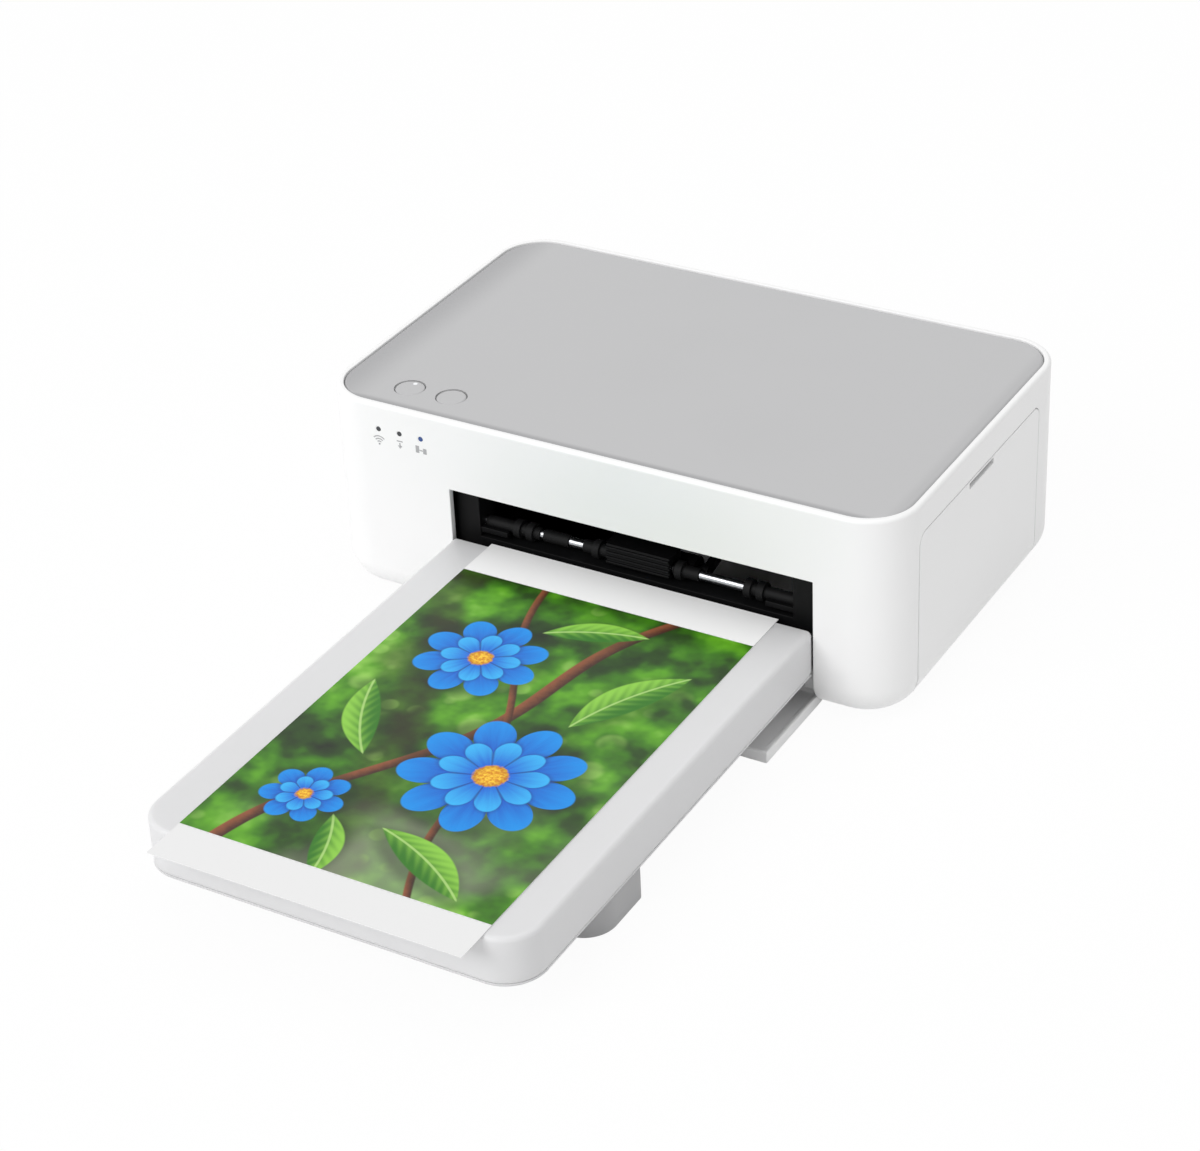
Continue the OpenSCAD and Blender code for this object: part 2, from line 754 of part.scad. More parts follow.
module paper_stack() {
  color("white") from_front()
    box([feed_x - paper_w / 2, cassette_in - 2 - paper_l, stack_z],
        [feed_x + paper_w / 2, cassette_in - 2, stack_top]);
}

// Plate that lifts the paper's rear end to the pickup roller, on a leaf spring
module lift_plate() {
  color(steel) from_front() {
    box([feed_x - 44, -30, stack_z - 0.6], [feed_x + 44, cassette_in - 3, stack_z]);
    box([feed_x - 6, -20, tray_floor], [feed_x + 6, 10, stack_z - 0.6]);
  }
}

module photo_print() {
  color("white") from_front()
    box([feed_x - paper_w / 2, print_over - paper_l, cassette_top],
        [feed_x + paper_w / 2, print_over, cassette_top + sheet_t]);
}

// ---------- chassis ----------

plate_top = 66;

module side_plate(x, side) {
  difference() {
    union() {
      across(x, x + plate_t) translate([20, floor_z + 1.2]) square([94, plate_top - floor_z - 1.2]);
      // Feet that the case screws hold
      for (y = [24, 98])
        if (side < 0) box([x - 10, y, floor_z], [x + plate_t, y + 12, floor_z + 1.3]);
        else box([x, y, floor_z], [x + plate_t + 9.4, y + 12, floor_z + 1.3]);
    }
    for (p = screw_at) translate([p[0], p[1], 0]) cylinder(r = screw_r, h = 10);
    rod(x - cut, x + plate_t + cut, feed_at, 2.5 + fit);
    rod(x - cut, x + plate_t + cut, platen_at, 2.5 + fit);
    rod(x - cut, x + plate_t + cut, pinch_at, 1.5 + fit);
    rod(x - cut, x + plate_t + cut, arm_pivot, 1.5);
    rod(x - cut, x + plate_t + cut, head_pivot, 1.5);
  }
}

module left_side_plate() {
  color(steel) from_front() difference() {
    side_plate(left_plate_x, -1);
    for (p = [drive_idler_at, exit_idler_at, takeup_idler_at, reduction_at])
      rod(left_plate_x - cut, left_plate_x + 3, p, 1.2);
    rod(left_plate_x - cut, left_plate_x + 3, motor_at, 1.6);
    for (p = [takeup_at, supply_at]) rod(left_plate_x - cut, left_plate_x + 3, p, 2 + fit);
  }
}

module right_side_plate() {
  color(steel) from_front() difference() {
    side_plate(right_plate_x, 1);
    // Window for the ribbon cartridge
    across(right_plate_x - cut, right_plate_x + plate_t + cut)
      translate([22.5, 44.5]) square([77, 19]);
    across(right_plate_x - cut, right_plate_x + plate_t + cut)
      translate([70, 38.8]) square([29.5, 12]);
  }
}

// The two fixed rods that the pickup arm and the head arm turn on
module pivot_shafts() {
  color(steel) from_front() for (p = [arm_pivot, head_pivot])
    rod(left_plate_x - 0.6, right_plate_x + plate_t + 0.6, p, shaft_r);
}

module cross_member() {
  color(steel) from_front() {
    box([left_plate_x + plate_t, 104, 30], [right_plate_x, 105.2, 36]);
    box([left_plate_x + plate_t, 97, 30], [right_plate_x, 104, 31.2]);
  }
}

module paper_guide() {
  color(black) from_front() difference() {
    union() {
      box([left_plate_x + plate_t, 67, 36.6], [right_plate_x, 122.5, 38]);
      for (i = [0 : 6]) box([feed_x - 48 + i * 15.5, 67, 38], [feed_x - 47 + i * 15.5, 122.5, 38.5]);
    }
    box([left_plate_x, 114, 30], [feed_x - 55, 125, 40]);
    box([feed_x + 55, 114, 30], [right_plate_x + cut, 125, 40]);
  }
}

// ---------- rollers and gears ----------

module feed_roller() {
  color(steel) from_front() {
    rod(gear_x, right_plate_x + 2.6, feed_at, 2.5);
    rod(feed_x - paper_w / 2 - 2, feed_x + paper_w / 2 + 2, feed_at, feed_r);
  }
}

module feed_gear() {
  color("ivory") from_front() gear(gear_x, feed_at, feed_teeth, feed_turn, 2.5);
}

module pinch_roller() {
  color(steel) from_front() {
    rod(left_plate_x - 0.6, right_plate_x + 1.8, pinch_at, 1.5);
    for (x = [-36, -12, 12, 36]) rod(feed_x + x - 8, feed_x + x + 8, pinch_at, pinch_r);
  }
}

module platen_roller() {
  color(rubber_black) from_front() {
    rod(gear_x, right_plate_x + 2.6, platen_at, 2.5);
    rod(feed_x - paper_w / 2 - 2, feed_x + paper_w / 2 + 2, platen_at, platen_r);
  }
}

module platen_gear() {
  color("ivory") from_front() gear(gear_x, platen_at, platen_teeth, platen_turn, 2.5);
}

stud_r = 1.2;

// Gear that turns on its own stud in the left side plate
module stud_gear(p, teeth, turn) {
  gear(gear_x, p, teeth, turn, 0.1);
  rod(gear_x, left_plate_x + plate_t, p, stud_r - fit);
}

module drive_idler() {
  color("ivory") from_front() stud_gear(drive_idler_at, idler_teeth, drive_idler_turn);
}

module exit_idler() {
  color("ivory") from_front() stud_gear(exit_idler_at, exit_idler_teeth, exit_idler_turn);
}

module takeup_idler() {
  color("ivory") from_front() stud_gear(takeup_idler_at, takeup_idler_teeth, takeup_idler_turn);
}

module reduction_gear() {
  color("ivory") from_front() {
    stud_gear(reduction_at, small_teeth, reduction_turn);
    gear(gear_x - gear_w, reduction_at, large_teeth, reduction_turn, 0.1);
    rod(gear_x - gear_w, gear_x, reduction_at, 2);
  }
}

motor_r = 9.5;

module motor() {
  color(steel) from_front() difference() {
    union() {
      rod(left_plate_x + plate_t, left_plate_x + 29, motor_at, motor_r);
      rod(left_plate_x + 29, left_plate_x + 31, motor_at, 3.5);
    }
    rod(left_plate_x, left_plate_x + 20, motor_at, 1.05);
  }
}

module motor_pinion() {
  color("goldenrod") from_front() {
    gear(gear_x - gear_w, motor_at, pinion_teeth, pinion_turn, 0.1);
    rod(gear_x - gear_w, left_plate_x + 19, motor_at, 1);
  }
}

// ---------- ribbon ----------

takeup_roll_r = 6;
supply_roll_r = 9;

module takeup_gear() {
  color("ivory") from_front() gear(gear_x, takeup_at, takeup_teeth, takeup_turn, 2);
}

module takeup_spool() {
  color(black) from_front() {
    rod(gear_x, feed_x + 57.2, takeup_at, 2);
    rod(feed_x - 51, feed_x + 51, takeup_at, takeup_roll_r);
    for (x = [feed_x - 54, feed_x + 51]) rod(x, x + 3, takeup_at, 7.4);
  }
}

module supply_spool() {
  color(black) from_front() {
    rod(left_plate_x - 0.4, feed_x + 57.2, supply_at, 2);
    rod(feed_x - 51, feed_x + 51, supply_at, supply_roll_r);
    for (x = [feed_x - 54, feed_x + 51]) rod(x, x + 3, supply_at, 10.4);
  }
}

head_z = feed_at[1] + feed_r + 0.85;   // underside of the print head
head_y = [52.5, 63.5];

// Film from the supply roll under the print head to the take-up roll
module ribbon_film() {
  t = 0.12;
  p = [[supply_at[0] - 1, supply_at[1] - supply_roll_r - 0.35], [head_y[1] + 0.5, head_z - 0.3],
       [head_y[0] - 0.5, head_z - 0.3], [takeup_at[0] + takeup_roll_r + 0.35, takeup_at[1] + 0.5]];
  color("#40306a", 0.8) from_front() across(feed_x - 50.5, feed_x + 50.5)
    polygon([p[0], p[1], p[2], p[3], p[3] + [t, 0], p[2] + [t, t], p[1] + [0, t], p[0] + [0, t]]);
}

// Half tube over a spool, open downwards
module trough(p, r, low) {
  difference() {
    rod(feed_x - 56, feed_x + 56, p, r + 1.2);
    rod(feed_x - 57, feed_x + 57, p, r);
    box([feed_x - 57, p[0] - 20, p[1] - 20], [feed_x + 57, p[0] + 20, low]);
  }
}

module cartridge_shell() {
  color("#3c3f44") from_front() difference() {
    union() {
      trough(takeup_at, 8, takeup_at[1]);
      trough(supply_at, 11, supply_at[1] - 3);
      for (x = [feed_x - 57.4, feed_x + 56]) difference() {
        across(x, x + 1.4) {
          translate(takeup_at) circle(9.2);
          translate(supply_at) circle(11.6);
          translate([takeup_at[0], 52.6]) square([supply_at[0] - takeup_at[0], 5]);
        }
        for (p = [takeup_at, supply_at]) rod(x - cut, x + 2 + cut, p, 2 + fit);
        box([x - cut, 0, 0], [x + 3, 120, 45.5]);
        box([x - cut, 0, 0], [x + 3, exit_depth + 1.5, mouth_top + 2.4]);
      }
      // Pull bar on the outer end
      box([feed_x + 57.4, 52, 52.6], [feed_x + 66, 68, 57.6]);
    }
    box([feed_x + 59, 54, 54], [feed_x + 64.6, 66, 60]);
  }
}

// ---------- print head ----------

module print_head() {
  color(steel) from_front() {
    box([feed_x - 53, head_y[0], head_z + 0.8], [feed_x + 53, head_y[1], head_z + 3.2]);
    rod(feed_x - 51, feed_x + 51, [platen_at[0], head_z + 1.2], 1.2);
  }
}

module heat_sink() {
  fins = 5;
  color("#a8abb0") from_front() {
    box([feed_x - 53, head_y[0] - 1, head_z + 3.2], [feed_x + 53, head_y[1] + 1, head_z + 6.2]);
    for (i = [0 : fins - 1])
      box([feed_x - 53, head_y[0] - 1 + i * 2.9, head_z + 6.2], [feed_x + 53, head_y[0] + 0.4 + i * 2.9, 62.8]);
  }
}

module head_arm() {
  color(steel) from_front() difference() {
    union() {
      box([feed_x - 52, head_y[0] - 2, 62.8], [feed_x + 52, 104, 64]);
      for (x = [left_plate_x + plate_t + 0.5, right_plate_x - 2])
        box([x, 96, 59.5], [x + 1.5, 109, 64.6]);
      box([left_plate_x + plate_t + 0.5, 98, 62.8], [right_plate_x - 0.5, 104, 64]);
    }
    rod(left_plate_x, right_plate_x, head_pivot, 1.5 + fit);
  }
}

// ---------- paper pickup ----------

module pickup_arm() {
  color(mid_grey) from_front() difference() {
    union() {
      for (x = [feed_x - 18, feed_x + 15.6]) {
        rod(x, x + 2.4, arm_pivot, 2.6);
        rod(x, x + 2.4, pickup_at, 2.4);
        across(x, x + 2.4) translate(pickup_at) rotate(bearing(pickup_at, arm_pivot))
          translate([0, -1.6]) square([dist(pickup_at, arm_pivot), 3.2]);
      }
      rod(feed_x - 18, feed_x + 18, arm_pivot, 2.6);
    }
    rod(feed_x - 20, feed_x + 20, arm_pivot, 1.5 + fit);
    rod(feed_x - 20, feed_x + 20, pickup_at, 1.2 + fit);
  }
}

module pickup_roller() {
  color(rubber_black) from_front() {
    rod(feed_x - 18.5, feed_x + 18.5, pickup_at, 1.2);
    for (x = [-9, 9]) rod(feed_x + x - 5, feed_x + x + 5, pickup_at, 4);
  }
}

// ---------- electrics ----------

fan_y = [111.5, 122];
fan_bore_r = 13.8;

module fan_frame() {
  color(black) from_front() difference() {
    translate([fan_x - fan_size / 2, fan_y[0], fan_z - fan_size / 2])
      cube([fan_size, fan_y[1] - fan_y[0], fan_size]);
    translate([fan_x, fan_y[1] - 1.5, fan_z]) rotate([90, 0, 0]) cylinder(r = fan_bore_r, h = 20);
    // The wall behind the rotor is open but for its motor seat and four struts
    translate([fan_x, fan_y[1] + cut, fan_z]) rotate([90, 0, 0]) difference() {
      cylinder(r = fan_bore_r, h = 4);
      cylinder(r = 5, h = 4);
      for (turn = [0, 90]) rotate(turn) translate([-14, -1, 0]) cube([28, 2, 4]);
    }
  }
}

module fan_rotor() {
  blades = 7;
  color(black) from_front() translate([fan_x, fan_y[1] - 3, fan_z]) rotate([90, 0, 0]) {
    cylinder(r = 6, h = 7);
    for (i = [0 : blades - 1]) rotate(i * 360 / blades)
      translate([5, 0, 0.5]) rotate([35, 0, 0]) translate([0, -0.5, 0]) cube([7.6, 1, 6]);
  }
}

module main_board() {
  color(board_green) from_front() {
    box([-93, 26, 6], [-68.5, 114.6, 7.6]);
    box([-84, 114.6, 6], [-52, 121.5, 7.6]);
    for (y = [40, 62]) box([-90, y, 7.6], [-78, y + 12, 9.2]);
    for (y = [82, 92]) translate([-86, y, 7.6]) cylinder(r = 3.5, h = 9);
  }
}

module power_inlet() {
  color(black) from_front() difference() {
    union() {
      box([jack_at[0] - 5, 111, 7.6], [jack_at[0] + 5, 121.5, jack_at[1] + 4.5]);
      box([jack_at[0] - 5, 121, 11.6], [jack_at[0] + 5, body_d - wall - 0.1, jack_at[1] + 4.5]);
      translate([jack_at[0], body_d - wall - 0.2, jack_at[1]]) rotate([-90, 0, 0])
        cylinder(r = jack_r - 0.15, h = wall - 0.3);
    }
    translate([jack_at[0], body_d + cut, jack_at[1]]) rotate([90, 0, 0])
      cylinder(r = plug_r, h = 11);
  }
}

module usb_socket() {
  tin = 0.6;
  color(steel) from_front() difference() {
    union() {
      box([usb_at[0] - usb_w / 2, 115, usb_at[1] - usb_h / 2],
          [usb_at[0] + usb_w / 2, body_d - 0.4, usb_at[1] + usb_h / 2]);
      for (x = [-usb_w / 2, usb_w / 2 - tin])
        box([usb_at[0] + x, 115.5, 7.6], [usb_at[0] + x + tin, 119.5, usb_at[1]]);
    }
    box([usb_at[0] - usb_w / 2 + tin, 115 + tin, usb_at[1] - usb_h / 2 + tin],
        [usb_at[0] + usb_w / 2 - tin, body_d + cut, usb_at[1] + usb_h / 2 - tin]);
  }
}

outer_shell();
top_panel();
base_plate();
rubber_feet();
case_screws();
front_door();
front_door_pins();
ribbon_door();
ribbon_door_pins();
ribbon_door_latch();
power_button();
mode_button();
power_light();
button_domes();
button_board();
status_lights();
status_board();
exit_frame();
exit_guide();
exit_shaft();
exit_rollers();
exit_gear();
exit_idler();
cassette_tray();
cassette_lid();
lid_pins();
cassette_foot();
paper_stack();
lift_plate();
photo_print();
left_side_plate();
right_side_plate();
cross_member();
pivot_shafts();
paper_guide();
feed_roller();
feed_gear();
pinch_roller();
platen_roller();
platen_gear();
drive_idler();
reduction_gear();
motor();
motor_pinion();
takeup_idler();
takeup_gear();
takeup_spool();
supply_spool();
ribbon_film();
cartridge_shell();
print_head();
heat_sink();
head_arm();
pickup_arm();
pickup_roller();
fan_frame();
fan_rotor();
main_board();
power_inlet();
usb_socket();
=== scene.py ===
"""Looks of a compact photo printer: its finishes, its modelled covers and the studio around it.

Lengths are in millimetres in the tables and outlines below, and become metres where a mesh is
made. x runs to the right as seen from the front, y into the printer and z up from the table.
"""
import json
import math

import bmesh
import bpy
from mathutils import Matrix, Vector


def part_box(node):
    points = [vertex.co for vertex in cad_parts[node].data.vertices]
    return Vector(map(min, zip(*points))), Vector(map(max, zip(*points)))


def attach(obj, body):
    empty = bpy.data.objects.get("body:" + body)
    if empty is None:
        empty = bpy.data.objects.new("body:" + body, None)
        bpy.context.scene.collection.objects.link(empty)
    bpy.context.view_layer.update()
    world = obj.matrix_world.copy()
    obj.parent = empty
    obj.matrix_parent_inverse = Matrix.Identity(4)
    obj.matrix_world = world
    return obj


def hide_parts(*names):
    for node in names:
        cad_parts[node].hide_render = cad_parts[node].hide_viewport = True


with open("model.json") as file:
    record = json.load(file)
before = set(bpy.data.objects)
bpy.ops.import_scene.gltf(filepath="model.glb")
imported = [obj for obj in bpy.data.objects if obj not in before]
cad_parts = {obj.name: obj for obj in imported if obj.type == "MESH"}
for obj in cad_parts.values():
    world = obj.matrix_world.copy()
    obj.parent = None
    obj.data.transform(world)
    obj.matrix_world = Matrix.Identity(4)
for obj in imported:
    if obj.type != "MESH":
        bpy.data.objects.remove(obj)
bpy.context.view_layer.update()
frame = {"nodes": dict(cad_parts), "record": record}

MM = 0.001
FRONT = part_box("outer_shell")[0].y / MM      # the front face, in millimetres


# ---------------------------------------------------------------- camera and lamps

CAMERA_AT = (0.4155, FRONT * MM - 0.6882, 0.5229)
CAMERA_AZIMUTH = 31.08       # degrees to the right of straight on
CAMERA_ELEVATION = 31.54     # degrees above the level
CAMERA_ROLL = -2.72          # degrees, the photograph leans a little
LENS_MM = 92.5               # on a 36 mm wide frame


def place_camera():
    """Camera at the photograph's place and angle."""
    az, el = math.radians(CAMERA_AZIMUTH), math.radians(CAMERA_ELEVATION)
    back = Vector((math.sin(az) * math.cos(el), -math.cos(az) * math.cos(el), math.sin(el)))
    side = Vector((0, 0, 1)).cross(back).normalized()
    up = back.cross(side)
    turn = math.radians(CAMERA_ROLL)
    side, up = (side * math.cos(turn) + up * math.sin(turn),
                up * math.cos(turn) - side * math.sin(turn))
    data = bpy.data.cameras.new("camera")
    data.lens = LENS_MM
    data.sensor_width = 36
    data.sensor_fit = "HORIZONTAL"
    data.clip_start = 0.01
    camera = bpy.data.objects.new("camera", data)
    axes = Matrix((side, up, back)).transposed().to_4x4()
    camera.matrix_world = Matrix.Translation(CAMERA_AT) @ axes
    bpy.context.scene.collection.objects.link(camera)
    bpy.context.scene.camera = camera


def area_lamp(name, at, target, width, height, watts):
    """Rectangular lamp at a place, aimed at a target."""
    data = bpy.data.lights.new(name, "AREA")
    data.shape = "RECTANGLE"
    data.size, data.size_y = width, height
    data.energy = watts
    lamp = bpy.data.objects.new(name, data)
    direction = Vector(target) - Vector(at)
    lamp.rotation_euler = direction.to_track_quat("-Z", "Y").to_euler()
    lamp.location = at
    bpy.context.scene.collection.objects.link(lamp)


# ---------------------------------------------------------------- finishes

class Wire:
    """A socket of a finish's node tree, with the arithmetic that the finishes use."""

    def __init__(self, finish, socket):
        self.finish, self.socket = finish, socket

    def math(self, operation, *values):
        return self.finish.node("ShaderNodeMath", {"operation": operation},
                                dict(enumerate(values)))

    def __add__(self, other):
        return self.math("ADD", self, other)

    def __sub__(self, other):
        return self.math("SUBTRACT", self, other)

    def __rsub__(self, other):
        return self.math("SUBTRACT", other, self)

    def __mul__(self, other):
        return self.math("MULTIPLY", self, other)

    def __pow__(self, other):
        return self.math("POWER", self, other)

    __radd__ = __add__
    __rmul__ = __mul__

    def most(self, other):
        return self.math("MAXIMUM", self, other)

    def size(self):
        return self.math("ABSOLUTE", self)

    def wave(self):
        return self.math("COSINE", self)

    def fade(self, low, high):
        """0 below low, 1 above high and smooth between, or the other way round if high < low."""
        first, last = (0.0, 1.0) if low < high else (1.0, 0.0)
        return self.finish.node(
            "ShaderNodeMapRange", {"interpolation_type": "SMOOTHSTEP"},
            {"Value": self, "From Min": min(low, high), "From Max": max(low, high),
             "To Min": first, "To Max": last})


class Finish:
    """A material with one Principled shader, or a world with its background, node by node."""

    def __init__(self, name, world=None, **sockets):
        self.material = world or bpy.data.materials.new(name)
        self.material.use_nodes = True
        self.tree = self.material.node_tree
        self.shader = self.tree.nodes["Background" if world else "Principled BSDF"]
        self.set(**sockets)

    def set(self, **sockets):
        """Sockets by name, with spaces as underscores, to a value or a wire."""
        for name, value in sockets.items():
            self._put(self.shader.inputs[name.replace("_", " ")], value)
        return self

    def _put(self, socket, value):
        if isinstance(value, Wire):
            self.tree.links.new(value.socket, socket)
        elif socket.type == "RGBA":
            socket.default_value = colour(value)
        else:
            socket.default_value = value

    def node(self, kind, settings=(), values=(), out=0):
        made = self.tree.nodes.new(kind)
        for key, value in dict(settings).items():
            if key == "stops":
                fill_ramp(made.color_ramp, value)
            else:
                setattr(made, key, value)
        for key, value in dict(values).items():
            self._put(made.inputs[key], value)
        return Wire(self, made.outputs[out])

    def place(self):
        """Position on the object in millimetres, in the printer's frame."""
        where = self.node("ShaderNodeTexCoord", out="Object")
        return self.node("ShaderNodeVectorMath", {"operation": "SCALE"},
                         {0: where, "Scale": 1 / MM})

    def xyz(self):
        where = self.place()
        return [self.node("ShaderNodeSeparateXYZ", (), {0: where}, out=i) for i in range(3)]

    def noise(self, scale, detail=3.0, roughness=0.5, where=None):
        """Noise with scale cells per millimetre, from 0 to 1."""
        return self.node("ShaderNodeTexNoise", {"noise_dimensions": "3D"},
                         {"Vector": where or self.place(), "Scale": scale, "Detail": detail,
                          "Roughness": roughness}, out="Fac")

    def cells(self, scale, randomness):
        """Distance from the nearest of scattered points, scale of them per millimetre."""
        return self.node("ShaderNodeTexVoronoi", {"feature": "F1"},
                         {"Vector": self.place(), "Scale": scale, "Randomness": randomness})

    def ramp(self, value, stops):
        return self.node("ShaderNodeValToRGB", {"stops": stops}, {"Fac": value}, out="Color")

    def mix(self, share, first, second):
        """Colour between first and second."""
        made = self.tree.nodes.new("ShaderNodeMix")
        made.data_type = "RGBA"
        for key, value in ((0, share), (6, first), (7, second)):
            self._put(made.inputs[key], value)
        return Wire(self, made.outputs[2])

    def bump(self, height, strength, depth_mm):
        """Relief of that depth, where height runs from 0 to 1."""
        normal = self.node("ShaderNodeBump", (),
                           {"Height": height, "Strength": strength, "Distance": depth_mm * MM},
                           out="Normal")
        return self.set(Normal=normal)


def colour(code):
    """Scene colour of a grey level, a hex code as it shows on the screen, or a colour as it is."""
    if isinstance(code, str):
        parts = [int(code[i:i + 2], 16) / 255 for i in (1, 3, 5)]
        return [p / 12.92 if p <= 0.04045 else ((p + 0.055) / 1.055) ** 2.4 for p in parts] + [1.0]
    if isinstance(code, (int, float)):
        return (code, code, code, 1.0)
    return tuple(code) + (1.0,) * (4 - len(code))


def shaded(tone, factor):
    """A plain colour made darker or lighter."""
    return [part * factor for part in colour(tone)[:3]]


def fill_ramp(ramp, stops):
    while len(ramp.elements) < len(stops):
        ramp.elements.new(1.0)
    for element, (position, value) in zip(ramp.elements, stops):
        element.position = position
        element.color = colour(value)


def moulded(name, tone, roughness, grain_mm, relief_mm, **sockets):
    """Moulded plastic: a fine grain in its relief, and slow changes of tone and gloss."""
    finish = Finish(name, **sockets)
    slow = finish.noise(0.02, 2.0)
    fine = finish.noise(1 / grain_mm, 2.0)
    finish.set(Base_Color=finish.mix(slow, shaded(tone, 0.975), shaded(tone, 1.02)),
               Roughness=roughness + 0.08 * (slow - 0.5) + 0.05 * (fine - 0.5))
    return finish.bump(fine, 0.35, relief_mm)


def brushed(name, tone, roughness, axis, **sockets):
    """Bright metal with fine lines along an axis, 0 to 2."""
    finish = Finish(name, Metallic=1.0, **sockets)
    stretch = [6.0, 6.0, 6.0]
    stretch[axis] = 0.15
    where = finish.node("ShaderNodeVectorMath", {"operation": "MULTIPLY"},
                        {0: finish.place(), 1: stretch})
    lines = finish.noise(1.0, 3.0, 0.6, where)
    finish.set(Base_Color=finish.mix(lines, shaded(tone, 0.85), shaded(tone, 1.08)),
               Roughness=roughness + 0.2 * (lines - 0.5))
    return finish.bump(lines, 0.3, 0.02)


def frosted():
    """Frosted see-through plastic of the cassette."""
    finish = moulded("frosted_plastic", "#E6E6E7", 0.38, 0.35, 0.01)
    return finish.set(Transmission_Weight=0.12, IOR=1.49, Subsurface_Weight=0.35,
                      Subsurface_Radius=(3.0, 3.0, 3.0), Subsurface_Scale=MM)


# ---------------------------------------------------------------- the picture on the print

PRINT_MIDDLE = (11.0, -88.75 + FRONT)    # of the printed area, in the printer's frame
PRINT_HALF_L = 73.75                     # half of its length; the strips at both ends stay white
PRINT_TOP = 29.8                         # the picture is on what lies above this height
TEAR_OFF = 0.35                          # from the picture's edge to the perforation
SHEET_T = 0.24

BLOSSOMS = [                             # place from the picture's middle, radius, petals, turn
    ((-27.0, -47.0), 13.0, 7, 0.4),
    ((-19.0, 33.0), 20.0, 8, 0.9),
    ((15.0, -17.0), 27.0, 9, 0.2),
]
LEAVES = [                               # place, direction in degrees, half length, half width
    ((30.0, 33.0), 62, 21.0, 6.5),
    ((-34.0, -8.0), 118, 19.0, 5.5),
    ((5.0, 60.0), 20, 16.0, 5.0),
    ((20.0, -58.0), -28, 20.0, 6.0),
    ((-8.0, -64.0), -70, 14.0, 4.5),
]
PETAL_RINGS = [                          # share of the radius, turn, tone inside and outside
    (1.0, 0.0, "#0638B8", "#0C93EA"),
    (0.62, 0.5, "#0857D0", "#38B8F6"),
]


def polar(finish, across, along, at):
    """Distance and angle from a place on the picture."""
    dx, dy = across - at[0], along - at[1]
    return (dx * dx + dy * dy) ** 0.5, finish.node("ShaderNodeMath", {"operation": "ARCTAN2"},
                                                   {0: dy, 1: dx})


def foliage(finish, across, along):
    """Leaves far out of focus, with soft discs of light and darker trunks between them."""
    slow = finish.noise(0.04, 2.5, 0.55)
    quick = finish.noise(0.13, 2.0, 0.5)
    tone = finish.ramp(0.72 * slow + 0.28 * quick, [
        (0.32, "#0E1D04"), (0.42, "#234708"), (0.50, "#3C7A0C"), (0.58, "#5DA41C"),
        (0.66, "#8DC94E"), (0.78, "#BCE092")])
    trunk = (across + 24 + 0.35 * along + 34 * (slow - 0.5)).size().fade(13, 3)
    tone = finish.mix(0.6 * trunk, tone, "#2A1C0E")
    grey = finish.noise(0.022, 1.0, 0.5).fade(0.5, 0.72) * along.fade(10, -60)
    tone = finish.mix(0.55 * grey, tone, "#9AA588")
    for scale, share in ((0.055, 0.45), (0.09, 0.3)):
        disc = finish.cells(scale, 1.0).fade(0.30, 0.20)
        tone = finish.mix(disc * share * slow.fade(0.44, 0.6), tone, "#A9D66C")
    return tone


def stem(finish, tone, across, along):
    """A brown stem that winds up across the picture, and a thinner one beside it."""
    bark = finish.noise(0.5, 3.0, 0.6)
    for start, lean, sway, half in ((-4.0, 0.42, 5.0, 2.3), (4.0, -0.30, 4.0, 1.3)):
        off = across - start - lean * along - sway * (along * 0.055).wave()
        body = (half - off.size()).fade(-0.3, 0.4)
        lit = finish.mix((off * (0.5 / half) + 0.5 * bark).fade(-0.3, 0.8), "#8E5233", "#3C1D12")
        tone = finish.mix(body, tone, lit)
    return tone


def leaf(finish, tone, across, along, at, degrees, length, width):
    """Pointed leaf with a pale midrib, side veins and a soft shadow round it."""
    turn = math.radians(degrees)
    dx, dy = across - at[0], along - at[1]
    lengthwise = dx * math.cos(turn) + dy * math.sin(turn)
    sideways = dy * math.cos(turn) - dx * math.sin(turn) + lengthwise * lengthwise * (0.12 / length)
    half = width - lengthwise * lengthwise * (width / length ** 2)
    body = (half - sideways.size()).fade(-0.3, 0.4)
    veins = (lengthwise * 1.5 - sideways.size() * 1.9).wave()
    lit = (sideways * (0.6 / width) + 0.12 * veins).fade(-0.5, 0.6)
    green = finish.mix(lit, "#2E7414", "#8CCB47")
    green = finish.mix(sideways.size().fade(0.55, 0.15) * 0.7, green, "#B9DF86")
    shade = (half + 2.5 - (sideways + 1.5).size()).fade(-2.5, 2.5)
    return finish.mix(body, finish.mix(0.4 * shade, tone, "#0E1B06"), green)


def blossom(finish, tone, across, along, at, radius, petals, turn):
    """Open flower of two rings of blue petals round a yellow middle."""
    far, around = polar(finish, across, along, at)
    shade = (far - radius).fade(4.0, -2.0)
    tone = finish.mix(0.5 * shade, tone, "#0C1A0A")
    for share, phase, deep, light in PETAL_RINGS:
        lobes = (around * (petals / 2) + turn + phase * math.pi).wave().size()
        rim = radius * share * (0.60 + 0.40 * lobes ** 0.6)
        rays = finish.node("ShaderNodeCombineXYZ", (), {0: around * 9.0, 1: far * 0.06, 2: turn})
        streaks = finish.noise(1.0, 3.0, 0.6, rays)
        outward = far * (1.1 / (radius * share)) + 0.5 * (streaks - 0.5)
        hue = finish.mix(outward.fade(0.1, 1.25), deep, light)
        hue = finish.mix(lobes.fade(0.30, 0.02) * 0.65, hue, "#06256E")
        if share < 1:
            tone = finish.mix((far - rim).fade(2.2, -1.0) * 0.5, tone, "#05286F")
        tone = finish.mix((rim - far).fade(-0.35, 0.35), tone, hue)
    grains = finish.noise(0.9, 2.0, 0.6)
    gold = finish.mix(grains.fade(0.35, 0.65), "#D98A0C", "#FFD23C")
    gold = finish.mix(far.fade(0.08 * radius, 0.2 * radius) * 0.6, gold, "#A85A08")
    return finish.mix((0.19 * radius + 1.6 * (grains - 0.5) - far).fade(-0.4, 0.4), tone, gold)


